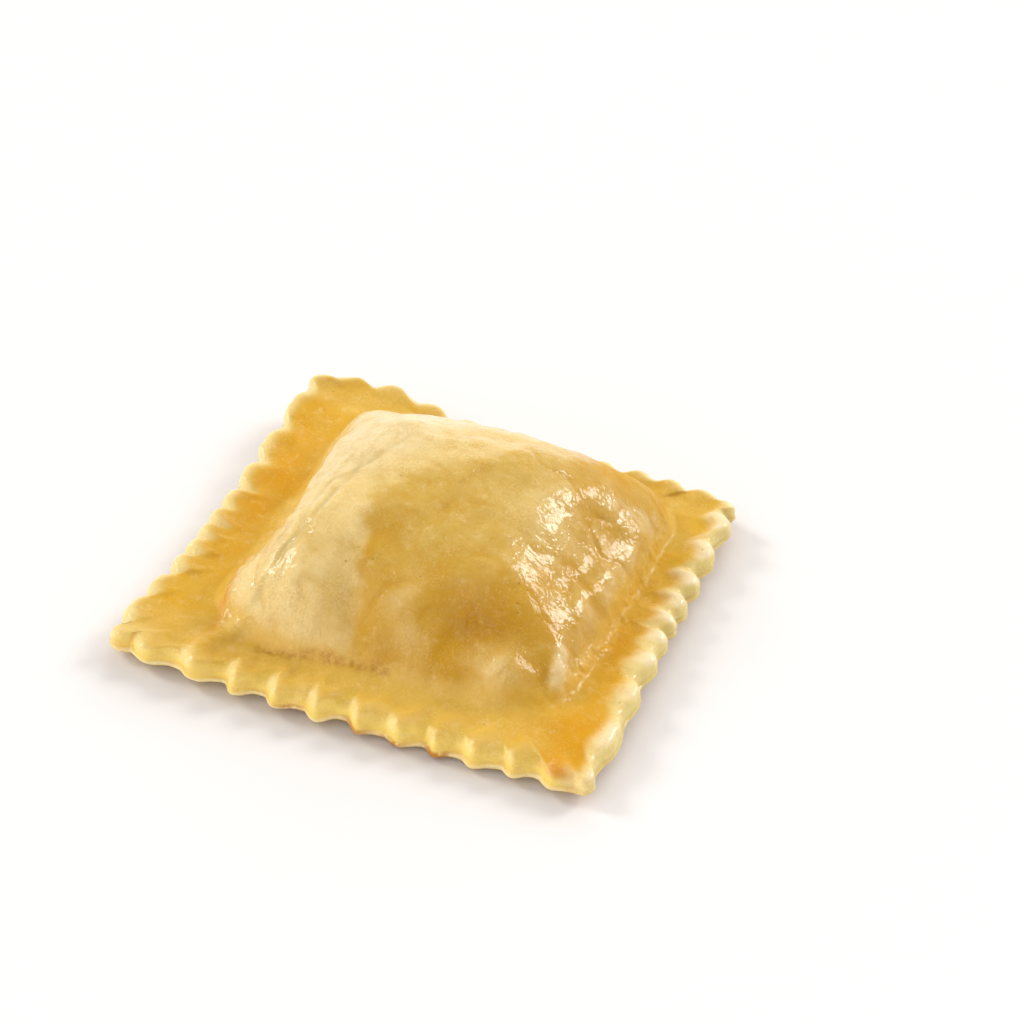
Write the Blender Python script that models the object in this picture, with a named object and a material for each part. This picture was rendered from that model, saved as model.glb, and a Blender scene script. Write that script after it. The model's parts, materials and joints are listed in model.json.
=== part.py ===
"""One cooked square raviolo with a fluted edge, lying on its own underside.

Two sheets of egg dough are pressed together round a mound of filling and cut
with a fluted wheel. The whole piece is one closed solid: the fluted flange,
the domed pillow with its slumped front, and the shallow belly below it, which
is flat where it rests on the table.

Frame: +Z up, origin on the table under the middle of the square. +X runs along
the front edge to the right, +Y to the rear. Sizes below are in millimetres and
the mesh is written in metres.
"""

import math

import bpy
import numpy as np

# ---- driving sizes, in millimetres -----------------------------------------
SIDE = 60.0  # across the square, tooth tip to tooth tip
CORNER_RADIUS = 3.3  # round lobe at each corner
SEAM_HEIGHT = 2.75  # the joint of the two sheets, over the table, at the edge
FLANGE_THICK = 2.5  # both sheets together, pressed flat
TROUGH_DEPTH = 0.55  # pressed channel between the teeth and the pillow
SHIFT = (0.8, -0.28)  # puts the finished piece over the origin

# the fluting: what the cutting wheel left on each side (front, right, rear, left)
FLUTES = (12, 10, 12, 11)  # pitches
DRIFT = (1.6, 1.2, -2.0, 4.7)  # how unevenly the wheel ran: most half way along
BUNCH = (0.3, 3.5, 0.6, 4.0)  # the same, changing sign half way along
TOOTH_DEPTH = (2.3, 1.8, 1.6, 1.6)  # how far a valley cuts into the top sheet
LEDGE_SHARE = 0.48  # share of that depth at the underside, where the lower sheet stands out
LEAN = (0.17, -0.07, 0.0, 0.0)  # how far each tooth leans back along the side, in pitches
TIP_FLAT = (1.15, 1.5, 1.2, 2.3)  # 1: teeth as round as the valleys; more: broad flat teeth
RIDGE = (1.50, 1.15, 1.0, 1.15)  # how much higher a tooth stands than the valley beside it
RIDGE_REACH = (3.6, 2.6, 2.8, 2.6)  # how far the ridges run in from the edge
EDGE_WIDE = (0.75, 0.55, 0.70, 0.50)  # rounding of the cut edge in a valley
EDGE_TIP = (1.35, 0.80, 0.90, 0.45)  # and more of it on a tip
LOW_ROUND = 0.42  # share of that rounding below the seam
SEAM_SHARE = 0.44  # how far up the cut edge the seam runs
EDGE_POWER = (0.95, 0.75)  # how round the edge is above the seam and below it: 1 is a full curve
CORNER_LIP = 0.3  # raised lip round each corner lobe
FRONT_SAG = 0.65  # how far the lower sheet droops to the table along the front

# foot line of the pillow, measured from the origin
FOOT_LEFT, FOOT_RIGHT = 22.2, 22.9
FOOT_FRONT, FOOT_REAR = 23.4, 23.2
FOOT_POWER = (4.6, 6.5)  # superellipse power at the front and the rear: how square the pillow is
DOME_HEIGHT = 11.8  # pillow over the flange
# per side (front, right, rear, left): how full the shoulder is, and how far
# the wall bulges outwards half way up
SHOULDER = (2.35, 2.8, 4.0, 4.3)
WALL_BULGE = (0.15, 0.2, 0.8, 0.5)
FILLET = (0.085, 0.05, 0.03, 0.03)  # how softly each wall runs out into the flange
WAIST = 0.8  # how much the foot of the left wall flares out, half way along it
BELLY_FLAT, BELLY_EDGE = 0.56, 0.97  # flat spot and rim of the belly, as shares of the foot line

# the square was cut by hand and has stretched: where, how far (x, y) and over what length
PULLS = (
    (-30.0, -30.0, -1.2, 0.5, 5.0),
    (-30.0, -23.0, -1.2, 0.0, 5.0),
    (-30.0, 3.0, 0.6, 0.0, 12.0),
    (-6.0, -30.0, 0.0, -0.5, 20.0),
    (28.5, -30.0, 0.0, -0.7, 5.0),
    (30.0, -27.0, -0.5, 0.0, 5.0),
    (-20.0, 30.0, 0.0, 1.6, 8.0),
    (-30.0, 30.0, 0.3, -1.6, 4.0),
    (29.0, 30.0, 0.0, -1.3, 5.0),
)

HALF = SIDE / 2
INNER_HALF = 24.0  # half side of the square grid inside the rings


def smoothstep(low, high, value):
    t = np.clip((value - low) / (high - low), 0.0, 1.0)
    return t * t * (3.0 - 2.0 * t)


def hump(x, y, cx, cy, along, across, turn=0.0):
    """A smooth bump of height 1 at (cx, cy), with its long axis turned by so many degrees."""
    c, s = math.cos(math.radians(turn)), math.sin(math.radians(turn))
    u, v = (x - cx) * c + (y - cy) * s, -(x - cx) * s + (y - cy) * c
    return np.exp(-0.5 * ((u / along) ** 2 + (v / across) ** 2))


def fold(x, y, start, end, width, soft=1.5):
    """A crease of height 1 along a straight line that fades out at both ends."""
    dx, dy = end[0] - start[0], end[1] - start[1]
    length = math.hypot(dx, dy)
    u = ((x - start[0]) * dx + (y - start[1]) * dy) / length
    v = (-(x - start[0]) * dy + (y - start[1]) * dx) / length
    ends = smoothstep(-soft, soft, u) * (1.0 - smoothstep(length - soft, length + soft, u))
    return ends * np.exp(-0.5 * (v / width) ** 2)


def unevenness(x, y, size, turn):
    """Slow rolling of a hand-made sheet, about -1 to 1, from a few crossed waves of one size."""
    total = np.zeros_like(x)
    for k in range(5):
        angle = turn + 2.399963 * k
        wave = 2 * math.pi / (size * (0.8 + 0.17 * k))
        total += np.sin(wave * (x * math.cos(angle) + y * math.sin(angle)) + 1.7 * k * k + turn)
    return total / 3.2


# ---- fluted edge -------------------------------------------------------------
def flute_stations(side):
    """Running count of flutes against the distance along a side, tooth tips at whole numbers."""
    share = np.linspace(0.0, 1.0, 721)
    along = (
        SIDE * share
        + DRIFT[side] * np.sin(math.pi * share)
        + BUNCH[side] * np.sin(2 * math.pi * share)
    )
    return FLUTES[side] * share, along


def tooth_at(side, along):
    """1 on a tooth's tip and 0 in a valley, with each tooth a little different."""
    counts, stations = flute_stations(side)
    count = np.interp(along, stations, counts)
    index = np.round(count)
    off = count - index
    at_corner = (index < 0.5) | (index > FLUTES[side] - 0.5)
    lean = np.where(at_corner, 0.0, LEAN[side] + 0.05 * np.sin(5.1 * index + 2.3 * side))
    wave = 0.5 + 0.5 * np.cos(2 * math.pi * (off + lean * (1.0 - 4.0 * off * off)))
    size = np.where(at_corner, 1.0, 0.86 + 0.19 * np.sin(12.9898 * index + 4.1 * side))
    tooth = (1.0 - (1.0 - np.clip(wave, 0.0, 1.0)) ** TIP_FLAT[side]) * size
    return 1.0 - (1.0 - tooth) * (0.85 + 0.20 * np.sin(2.63 * count + 1.9 * side))


def turned(side, e, n):
    """Puts (along, outwards) of a side into x and y."""
    c, s = ((1, 0), (0, 1), (-1, 0), (0, -1))[side]
    return np.stack([c * e + s * n, s * e - c * n], axis=-1)


def edge_points(side, along):
    """Plan position of the edge at tooth-tip level, and its outward direction."""
    near = np.minimum(along, SIDE - along)
    turn = np.where(near < CORNER_RADIUS, (1.0 - near / CORNER_RADIUS) * math.pi / 4, 0.0)
    across = np.where(near < CORNER_RADIUS, CORNER_RADIUS * (1.0 - np.sin(turn)), near)
    first = along < HALF
    e = np.where(first, across, SIDE - across) - HALF
    n = HALF - CORNER_RADIUS * (1 - np.cos(turn))
    n = n + 0.35 * np.sin(math.pi * along / SIDE) * math.cos(2.1 * side + 0.4)
    return (
        turned(side, e, n),
        turned(side, np.where(first, -np.sin(turn), np.sin(turn)), np.cos(turn)),
    )


def tip_stations(side, segments):
    """Distances along a side for so many points: most go to the teeth, so that each tip has one."""
    counts, stations = flute_stations(side)
    flutes = FLUTES[side]
    per_tooth = (segments - 4) // (flutes - 1) // 2 * 2
    middle = per_tooth * (flutes - 1)
    first = (segments - middle) // 2
    spread = np.concatenate(
        [
            np.linspace(0.0, 0.5, first, endpoint=False),
            np.linspace(0.5, flutes - 0.5, middle, endpoint=False),
            np.linspace(flutes - 0.5, flutes, segments - first - middle, endpoint=False),
        ]
    )
    return np.interp(spread, counts, stations)


def even_stations(side, segments):
    """Distances along a side for so many points, evenly apart."""
    return np.linspace(0.0, SIDE, segments, endpoint=False)


class Rings:
    """The lines that run in from each edge point to a point of the inner square, counter-clockwise from the front left corner."""

    def __init__(self, segments, stations):
        tips, outs, along, inner_along, inner, sides = [], [], [], [], [], []
        for side in range(4):
            a = stations(side, segments)
            tip, out = edge_points(side, a)
            step = np.linspace(-INNER_HALF, INNER_HALF, segments, endpoint=False)
            tips.append(tip)
            outs.append(out)
            along.append(a)
            inner_along.append(step + HALF)
            inner.append(turned(side, step, np.full(segments, INNER_HALF)))
            sides.append(np.full(segments, side))
        self.segments = segments
        self.tips, self.outs, self.inner = map(np.concatenate, (tips, outs, inner))
        self.along, self.inner_along = map(np.concatenate, (along, inner_along))
        self.sides = np.concatenate(sides)
        self.tooth = self.teeth(self.along)
        near = np.minimum(self.along, SIDE - self.along)
        self.corner = np.exp(-((near / 5.2) ** 2))

    def teeth(self, along):
        found = np.zeros_like(along)
        for side in range(4):
            mine = self.sides == side
            found[mine] = tooth_at(side, along[mine])
        return found

    def by_side(self, values):
        """A figure of each side, with the change spread over the corners."""
        values = np.asarray(values, float)
        own = values[self.sides]
        before, after = values[(self.sides - 1) % 4], values[(self.sides + 1) % 4]
        near = np.clip(self.along / 8.0, 0, 1)
        far = np.clip((SIDE - self.along) / 8.0, 0, 1)
        own = own + (before - own) * 0.5 * (1 - near) ** 2
        return own + (after - own) * 0.5 * (1 - far) ** 2

    def ring(self, angle, way=None):
        """One ring: its places, and how far in from the cut edge, which tooth and what share of the line each is.

        The angle is 0 at the seam, 90 on top and -90 below. Round the cut edge
        the angle alone says how far in the ring is; after that, way goes from 0
        there to 1 at the inner square.
        """
        rise = 0.5 + 0.5 * math.sin(math.radians(angle))
        depth = self.by_side(TOOTH_DEPTH) * (LEDGE_SHARE + (1 - LEDGE_SHARE) * rise)
        start = self.tips - self.outs * (depth * (1.0 - self.tooth))[:, None]
        reach = np.linalg.norm(start - self.inner, axis=1)
        wide = self.by_side(EDGE_WIDE) + self.by_side(EDGE_TIP) * self.tooth
        wide = wide * (1.0 if angle > 0 else LOW_ROUND)
        if way is None:
            power = EDGE_POWER[0 if angle > 0 else 1]
            inward = wide * (1.0 - math.cos(math.radians(angle)) ** power)
        else:
            inward = wide + (reach - wide) * way
        share = inward / reach
        place = start * (1.0 - share)[:, None] + self.inner * share[:, None]
        tooth = self.teeth(self.along * (1 - share) + self.inner_along * share)
        return place, inward, tooth, share


# ---- heights -------------------------------------------------------------------
def seam_height(x, y):
    """Height of the joint between the two sheets: the flange is nearly level and lifts at the rear left."""
    rear_left = hump(x, y, -31.0, 31.0, 15.0, 9.0, -45.0)
    return (
        SEAM_HEIGHT
        + 2.1 * rear_left
        + 0.5 * hump(x, y, -30.0, 12.0, 4.0, 8.0)
        - 0.35 * hump(x, y, -30.0, -30.0, 8.0, 8.0)
        - 0.30 * hump(x, y, 4.0, -31.0, 14.0, 4.0)
        + 0.35 * hump(x, y, 31.0, 4.0, 4.0, 12.0)
        + 0.22 * unevenness(x, y, 23.0, 0.6)
    )


def foot_share(x, y):
    """0 in the middle of the pillow and 1 on its foot line, with the four sides' weights."""
    cx, cy = (FOOT_RIGHT - FOOT_LEFT) / 2, (FOOT_REAR - FOOT_FRONT) / 2
    u = (x - cx) / ((FOOT_RIGHT + FOOT_LEFT) / 2)
    v = (y - cy) / ((FOOT_REAR + FOOT_FRONT) / 2)
    power = FOOT_POWER[0] + (FOOT_POWER[1] - FOOT_POWER[0]) * smoothstep(-0.4, 0.6, v)
    share = (np.abs(u) ** power + np.abs(v) ** power + 1e-12) ** (1 / power)
    share = share * (
        1.0
        + 0.014 * unevenness(x, y, 13.0, 4.1)
        - 0.075 * hump(x, y, 21.0, 21.0, 5.5, 5.5)
        - 0.045 * hump(x, y, -21.0, -18.0, 5.0, 6.0)
        + 0.022 * hump(x, y, -18.0, 21.0, 4.5, 5.0)
    )
    far = np.hypot(u, v) + 1e-9
    weights = (
        np.where(v < 0, (v / far) ** 2, 0.0),
        np.where(u > 0, (u / far) ** 2, 0.0),
        np.where(v > 0, (v / far) ** 2, 0.0),
        np.where(u < 0, (u / far) ** 2, 0.0),
    )
    return share, weights, u / far, v / far


def pillow_form(x, y):
    """Relative height of the pillow, 0 on the foot line, and how its wall is pushed sideways."""
    share, weights, du, dv = foot_share(x, y)
    power = sum(w * p for w, p in zip(weights, SHOULDER))
    bulge = sum(w * b for w, b in zip(weights, WALL_BULGE))
    soft = sum(w * f for w, f in zip(weights, FILLET))
    rise = 1.0 - np.clip(share, 0.0, 1.4) ** power
    rise = (rise + np.sqrt(rise * rise + soft * soft)) / 2
    flare = WAIST * hump(x, y, -22.0, -3.0, 9.0, 8.5)
    rise = rise * (1.0 - flare * smoothstep(0.77, 0.93, share))
    push = bulge * (1.0 - flare) * 4.0 * rise * (1.0 - rise)
    return rise, push * du, push * dv


def pillow_height(x, y):
    """How high the filling holds the top sheet: highest behind the middle, slumped to the front."""
    return DOME_HEIGHT * (
        1.0
        + 0.10 * hump(x, y, -2.0, 6.0, 12.0, 9.0)
        - 0.16 * hump(x, y, 20.0, -20.0, 15.0, 11.0, -40.0)
        + 0.02 * hump(x, y, 18.0, 17.0, 8.0, 8.0)
        - 0.25 * hump(x, y, -11.5, 19.5, 5.0, 5.0)
    )


def pillow_folds(x, y):
    """Dents, soft valleys and lumps of the cooked top sheet, in millimetres."""
    return (
        0.60 * hump(x, y, -12.5, -13.5, 4.5, 4.5)  # full front left corner
        - 0.60 * fold(x, y, (-7.0, -9.0), (-6.4, -15.0), 1.3, 2.0)  # valley beside it
        - 0.70 * fold(x, y, (-6.2, -14.5), (-3.4, -21.5), 1.5, 2.0)
        - 1.00 * hump(x, y, -4.7, -9.3, 2.5, 1.9)  # dent at the valley's head
        + 0.60 * hump(x, y, 1.2, -16.7, 2.4, 2.0)
        - 0.30 * hump(x, y, 3.5, -11.0, 5.0, 2.6)
        - 0.90 * hump(x, y, 9.5, -16.0, 4.2, 2.2)  # hollow over the front foot
        + 1.10 * hump(x, y, 14.8, -19.6, 2.3, 2.3)  # lump under the hollow
        - 0.85 * fold(x, y, (17.0, 7.0), (16.6, -9.0), 1.5, 2.5)  # soft valley in the right wall
        + 1.05 * fold(x, y, (22.0, 12.0), (21.7, 3.5), 1.2, 1.8)  # slack skin below it
        + 0.85 * fold(x, y, (21.6, 3.0), (20.2, -3.5), 1.2, 1.8)
        + 0.45 * hump(x, y, 19.2, -6.5, 1.4, 2.2)
        + 0.60 * fold(x, y, (21.3, -18.4), (18.6, -12.5), 0.8, 1.6)  # pinched end of that wall
        + 0.40 * hump(x, y, 13.0, 3.5, 3.0, 4.0)
        + 0.50 * fold(x, y, (-7.0, -3.0), (8.0, 9.5), 2.3, 4.0)  # edge of the flatter top
        - 0.30 * fold(x, y, (-14.5, -4.0), (-8.0, 6.5), 1.4, 2.5)
        + 0.26 * unevenness(x, y, 17.0, 2.2)
        + 0.16 * unevenness(x, y, 8.5, 0.9)
    )


def sheets(x, y, inward, ridge, corner):
    """Top and bottom of the dough, before the cut edge is rounded."""
    trough = TROUGH_DEPTH * smoothstep(1.5, 4.5, inward) * (1.0 - smoothstep(6.5, 10.0, inward))
    lip = CORNER_LIP * corner * np.exp(-(((inward - 0.9) / 1.1) ** 2))
    middle = seam_height(x, y)
    half = FLANGE_THICK / 2
    rise, push_x, push_y = pillow_form(x, y)
    share = foot_share(x, y)[0]
    top = (
        middle
        + half
        + 0.66 * ridge
        + lip
        - 0.7 * trough
        - 0.45 * hump(x, y, 26.0, -26.5, 2.2, 1.6, 35.0)
        + 0.45 * fold(x, y, (-16.8, -21.0), (-20.6, -26.6), 0.8, 1.2)
        + (0.14 * unevenness(x, y, 9.0, 1.3) + 0.10 * unevenness(x, y, 5.2, 2.7)) * smoothstep(1.0, 3.0, inward)
        + rise * pillow_height(x, y)
        + smoothstep(0.0, 0.15, rise) * pillow_folds(x, y)
    )
    bottom = middle - half - 0.34 * ridge + 0.15 * trough
    sag = FRONT_SAG * fold(x, y, (-2.0, -31.0), (26.0, -31.0), 2.4, 8.0)
    bottom = np.maximum(bottom - sag, 0.12)
    bottom = bottom * smoothstep(BELLY_FLAT, BELLY_EDGE, share)
    return top, bottom, push_x, push_y


def pulled(x, y):
    """Plan position after the uneven stretch of the square."""
    dx, dy = np.full_like(x, SHIFT[0]), np.full_like(y, SHIFT[1])
    for cx, cy, px, py, reach in PULLS:
        share = hump(x, y, cx, cy, reach, reach)
        dx, dy = dx + px * share, dy + py * share
    return x + dx, y + dy


def surface(place, inward, ridge, corner, angle):
    """Points of the dough's skin; angle is 0 at the seam, 90 degrees on top and -90 below."""
    x, y = place[..., 0], place[..., 1]
    top, bottom, push_x, push_y = sheets(x, y, inward, ridge, corner)
    seam = bottom + (top - bottom) * SEAM_SHARE
    height = abs(math.sin(math.radians(angle))) ** EDGE_POWER[0 if angle > 0 else 1]
    if angle < 0:
        px, py = pulled(x, y)
        return np.stack([px, py, seam + (bottom - seam) * height], -1)
    px, py = pulled(x + push_x, y + push_y)
    return np.stack([px, py, seam + (top - seam) * height], -1)


# ---- mesh ------------------------------------------------------------------------
def ring_points(rings, way, angle):
    """One ring of the skin, and for each point its plan place, distance in, tooth and level."""
    place, inward, tooth, share = rings.ring(angle, way)
    reach = rings.by_side(RIDGE_REACH)
    ridge = rings.by_side(RIDGE) * (tooth - 0.5) * np.exp(-((inward / reach) ** 3))
    ridge = ridge * (1.0 - smoothstep(0.5, 1.0, share)) * (1.0 - 0.9 * rings.corner)
    level = np.full(len(inward), math.sin(math.radians(angle)))
    facts = np.column_stack([place, inward, tooth, level])
    return surface(place, inward, ridge, rings.corner, angle), facts


def grid_points(cells, upper):
    line = np.linspace(-INNER_HALF, INNER_HALF, cells + 1)
    gx, gy = np.meshgrid(line, line, indexing="ij")
    place = np.stack([gx, gy], -1).reshape(-1, 2)
    depth = HALF - np.abs(place).max(axis=1)
    nothing = np.zeros(len(place))
    facts = np.column_stack([place, depth, nothing, np.full(len(place), 1.0 if upper else -1.0)])
    return surface(place, depth, nothing, nothing, 90.0 if upper else -90.0), facts


def band(outer, within, upper):
    """Quads between two rings of the same length."""
    a, b, c, d = outer, np.roll(outer, -1), np.roll(within, -1), within
    quads = np.stack([a, b, c, d] if upper else [d, c, b, a], -1)
    return quads


def halved(outer, within, upper):
    """Triangles between a ring and one with half as many points."""
    a, b, c = outer[0::2], outer[1::2], np.roll(outer[0::2], -1)
    d, e = within, np.roll(within, -1)
    triangles = np.concatenate(
        [np.stack([a, b, d], -1), np.stack([b, e, d], -1), np.stack([b, c, e], -1)]
    )
    return triangles if upper else triangles[:, ::-1]


def grid_border(grid):
    return np.concatenate([grid[:-1, 0], grid[-1, :-1], grid[:0:-1, -1], grid[0, :0:-1]])


def skin(segments, stations, top_angles, low_angles, top_band, low_band, top_cells, low_wide):
    """The whole closed skin: points, their facts, quads and triangles. low_wide is how many of the lower sheet's rings keep all their points before every other one is dropped."""
    rings = Rings(segments, stations)
    points, facts, quads, triangles = [], [], [], []
    count = 0

    def add(new, step=1):
        nonlocal count
        places, known = new
        points.append(places[::step])
        facts.append(known[::step])
        count += len(points[-1])
        return np.arange(count - len(points[-1]), count)

    seam = add(ring_points(rings, None, 0.0))
    for upper in (True, False):
        places = [(None, a) for a in (top_angles if upper else low_angles)]
        places += [(w, 90.0 if upper else -90.0) for w in (top_band if upper else low_band)]
        last = seam
        for k, (way, angle) in enumerate(places):
            step = 2 if not upper and k >= low_wide else 1
            new = add(ring_points(rings, way, angle), step)
            if len(new) == len(last):
                quads.append(band(last, new, upper))
            else:
                triangles.append(halved(last, new, upper))
            last = new
        cells = top_cells if upper else len(last) // 4
        grid = add(grid_points(cells, upper)).reshape(cells + 1, cells + 1)
        cell = np.stack(
            [grid[:-1, :-1], grid[1:, :-1], grid[1:, 1:], grid[:-1, 1:]], -1
        ).reshape(-1, 4)
        quads.append(cell if upper else cell[:, ::-1])
        border = grid_border(grid)
        if len(border) == len(last):
            quads.append(band(last, border, upper))
        else:
            triangles.append(halved(last, border, upper))
    triangles = np.concatenate(triangles) if triangles else np.zeros((0, 3), int)
    return np.concatenate(points), np.concatenate(facts), np.concatenate(quads), triangles


# ---- resolution of this solid ----------------------------------------------
EDGE_SEGMENTS = 52  # points along each side of the fluted edge, even
TOP_ANGLES = (46.0, 90.0)  # rings round the cut edge, from the seam to the top
LOW_ANGLES = (-46.0, -90.0)
TOP_BAND = (0.14, 0.50)  # rings over the flange, as shares of the way from the edge to the inner square
LOW_BAND = (0.35,)


def dough_material():
    material = bpy.data.materials.new("cooked_egg_dough")
    material.use_nodes = True
    shader = material.node_tree.nodes["Principled BSDF"]
    shader.inputs["Base Color"].default_value = (0.68, 0.42, 0.12, 1.0)
    shader.inputs["Roughness"].default_value = 0.38
    shader.inputs["Metallic"].default_value = 0.0
    shader.inputs["Subsurface Weight"].default_value = 0.3
    shader.inputs["Subsurface Radius"].default_value = (0.003, 0.0016, 0.0006)
    return material


def main():
    for old in list(bpy.data.objects):
        bpy.data.objects.remove(old, do_unlink=True)
    points, _, quads, triangles = skin(
        EDGE_SEGMENTS,
        tip_stations,
        TOP_ANGLES,
        LOW_ANGLES,
        TOP_BAND,
        LOW_BAND,
        EDGE_SEGMENTS // 2,
        2,
    )
    mesh = bpy.data.meshes.new("raviolo")
    mesh.from_pydata((points / 1000.0).tolist(), [], quads.tolist() + triangles.tolist())
    mesh.validate()
    mesh.materials.append(dough_material())
    mesh.shade_smooth()
    raviolo = bpy.data.objects.new("raviolo", mesh)
    bpy.context.scene.collection.objects.link(raviolo)


main()
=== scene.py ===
"""The looks of one cooked raviolo: the two sheets of wet egg dough modelled finely
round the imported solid, with their fluting, creases and wrinkles, on a plain
white floor under soft studio light.

Lengths in the shape code are millimetres, and the mesh is written in metres.
"""

import json
import math

import bpy
import numpy as np
from mathutils import Matrix, Vector

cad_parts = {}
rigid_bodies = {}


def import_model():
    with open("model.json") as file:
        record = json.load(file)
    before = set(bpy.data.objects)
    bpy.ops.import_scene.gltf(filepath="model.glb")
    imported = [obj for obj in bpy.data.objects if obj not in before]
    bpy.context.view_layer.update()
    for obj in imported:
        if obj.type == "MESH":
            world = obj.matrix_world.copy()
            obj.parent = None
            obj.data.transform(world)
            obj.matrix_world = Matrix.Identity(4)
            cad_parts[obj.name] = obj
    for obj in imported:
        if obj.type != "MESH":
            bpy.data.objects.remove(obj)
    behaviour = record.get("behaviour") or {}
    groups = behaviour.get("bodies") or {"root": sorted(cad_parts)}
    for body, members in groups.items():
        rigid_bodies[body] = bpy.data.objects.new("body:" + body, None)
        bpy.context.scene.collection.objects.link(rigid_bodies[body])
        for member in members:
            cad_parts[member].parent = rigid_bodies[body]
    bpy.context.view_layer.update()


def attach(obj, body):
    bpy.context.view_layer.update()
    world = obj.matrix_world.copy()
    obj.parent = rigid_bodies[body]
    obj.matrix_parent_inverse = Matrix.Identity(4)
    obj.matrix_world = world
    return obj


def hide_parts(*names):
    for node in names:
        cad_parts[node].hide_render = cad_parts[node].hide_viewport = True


# ---- driving sizes, in millimetres -----------------------------------------
SIDE = 60.0  # across the square, tooth tip to tooth tip
CORNER_RADIUS = 3.3  # round lobe at each corner
SEAM_HEIGHT = 2.75  # the joint of the two sheets, over the table, at the edge
FLANGE_THICK = 2.5  # both sheets together, pressed flat
TROUGH_DEPTH = 0.55  # pressed channel between the teeth and the pillow
SHIFT = (0.8, -0.28)  # puts the finished piece over the origin

# the fluting: what the cutting wheel left on each side (front, right, rear, left)
FLUTES = (12, 10, 12, 11)  # pitches
DRIFT = (1.6, 1.2, -2.0, 4.7)  # how unevenly the wheel ran: most half way along
BUNCH = (0.3, 3.5, 0.6, 4.0)  # the same, changing sign half way along
TOOTH_DEPTH = (2.3, 1.8, 1.6, 1.6)  # how far a valley cuts into the top sheet
LEDGE_SHARE = 0.48  # share of that depth at the underside, where the lower sheet stands out
LEAN = (0.17, -0.07, 0.0, 0.0)  # how far each tooth leans back along the side, in pitches
TIP_FLAT = (1.15, 1.5, 1.2, 2.3)  # 1: teeth as round as the valleys; more: broad flat teeth
RIDGE = (1.50, 1.15, 1.0, 1.15)  # how much higher a tooth stands than the valley beside it
RIDGE_REACH = (3.6, 2.6, 2.8, 2.6)  # how far the ridges run in from the edge
EDGE_WIDE = (0.75, 0.55, 0.70, 0.50)  # rounding of the cut edge in a valley
EDGE_TIP = (1.35, 0.80, 0.90, 0.45)  # and more of it on a tip
LOW_ROUND = 0.42  # share of that rounding below the seam
SEAM_SHARE = 0.44  # how far up the cut edge the seam runs
EDGE_POWER = (0.95, 0.75)  # how round the edge is above the seam and below it: 1 is a full curve
CORNER_LIP = 0.3  # raised lip round each corner lobe
FRONT_SAG = 0.65  # how far the lower sheet droops to the table along the front

# foot line of the pillow, measured from the origin
FOOT_LEFT, FOOT_RIGHT = 22.2, 22.9
FOOT_FRONT, FOOT_REAR = 23.4, 23.2
FOOT_POWER = (4.6, 6.5)  # superellipse power at the front and the rear: how square the pillow is
DOME_HEIGHT = 11.8  # pillow over the flange
# per side (front, right, rear, left): how full the shoulder is, and how far
# the wall bulges outwards half way up
SHOULDER = (2.35, 2.8, 4.0, 4.3)
WALL_BULGE = (0.15, 0.2, 0.8, 0.5)
FILLET = (0.085, 0.05, 0.03, 0.03)  # how softly each wall runs out into the flange
WAIST = 0.8  # how much the foot of the left wall flares out, half way along it
BELLY_FLAT, BELLY_EDGE = 0.56, 0.97  # flat spot and rim of the belly, as shares of the foot line

# the square was cut by hand and has stretched: where, how far (x, y) and over what length
PULLS = (
    (-30.0, -30.0, -1.2, 0.5, 5.0),
    (-30.0, -23.0, -1.2, 0.0, 5.0),
    (-30.0, 3.0, 0.6, 0.0, 12.0),
    (-6.0, -30.0, 0.0, -0.5, 20.0),
    (28.5, -30.0, 0.0, -0.7, 5.0),
    (30.0, -27.0, -0.5, 0.0, 5.0),
    (-20.0, 30.0, 0.0, 1.6, 8.0),
    (-30.0, 30.0, 0.3, -1.6, 4.0),
    (29.0, 30.0, 0.0, -1.3, 5.0),
)

HALF = SIDE / 2
INNER_HALF = 24.0  # half side of the square grid inside the rings


def smoothstep(low, high, value):
    t = np.clip((value - low) / (high - low), 0.0, 1.0)
    return t * t * (3.0 - 2.0 * t)


def hump(x, y, cx, cy, along, across, turn=0.0):
    """A smooth bump of height 1 at (cx, cy), with its long axis turned by so many degrees."""
    c, s = math.cos(math.radians(turn)), math.sin(math.radians(turn))
    u, v = (x - cx) * c + (y - cy) * s, -(x - cx) * s + (y - cy) * c
    return np.exp(-0.5 * ((u / along) ** 2 + (v / across) ** 2))


def fold(x, y, start, end, width, soft=1.5):
    """A crease of height 1 along a straight line that fades out at both ends."""
    dx, dy = end[0] - start[0], end[1] - start[1]
    length = math.hypot(dx, dy)
    u = ((x - start[0]) * dx + (y - start[1]) * dy) / length
    v = (-(x - start[0]) * dy + (y - start[1]) * dx) / length
    ends = smoothstep(-soft, soft, u) * (1.0 - smoothstep(length - soft, length + soft, u))
    return ends * np.exp(-0.5 * (v / width) ** 2)


def unevenness(x, y, size, turn):
    """Slow rolling of a hand-made sheet, about -1 to 1, from a few crossed waves of one size."""
    total = np.zeros_like(x)
    for k in range(5):
        angle = turn + 2.399963 * k
        wave = 2 * math.pi / (size * (0.8 + 0.17 * k))
        total += np.sin(wave * (x * math.cos(angle) + y * math.sin(angle)) + 1.7 * k * k + turn)
    return total / 3.2


# ---- fluted edge -------------------------------------------------------------
def flute_stations(side):
    """Running count of flutes against the distance along a side, tooth tips at whole numbers."""
    share = np.linspace(0.0, 1.0, 721)
    along = (
        SIDE * share
        + DRIFT[side] * np.sin(math.pi * share)
        + BUNCH[side] * np.sin(2 * math.pi * share)
    )
    return FLUTES[side] * share, along


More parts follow.
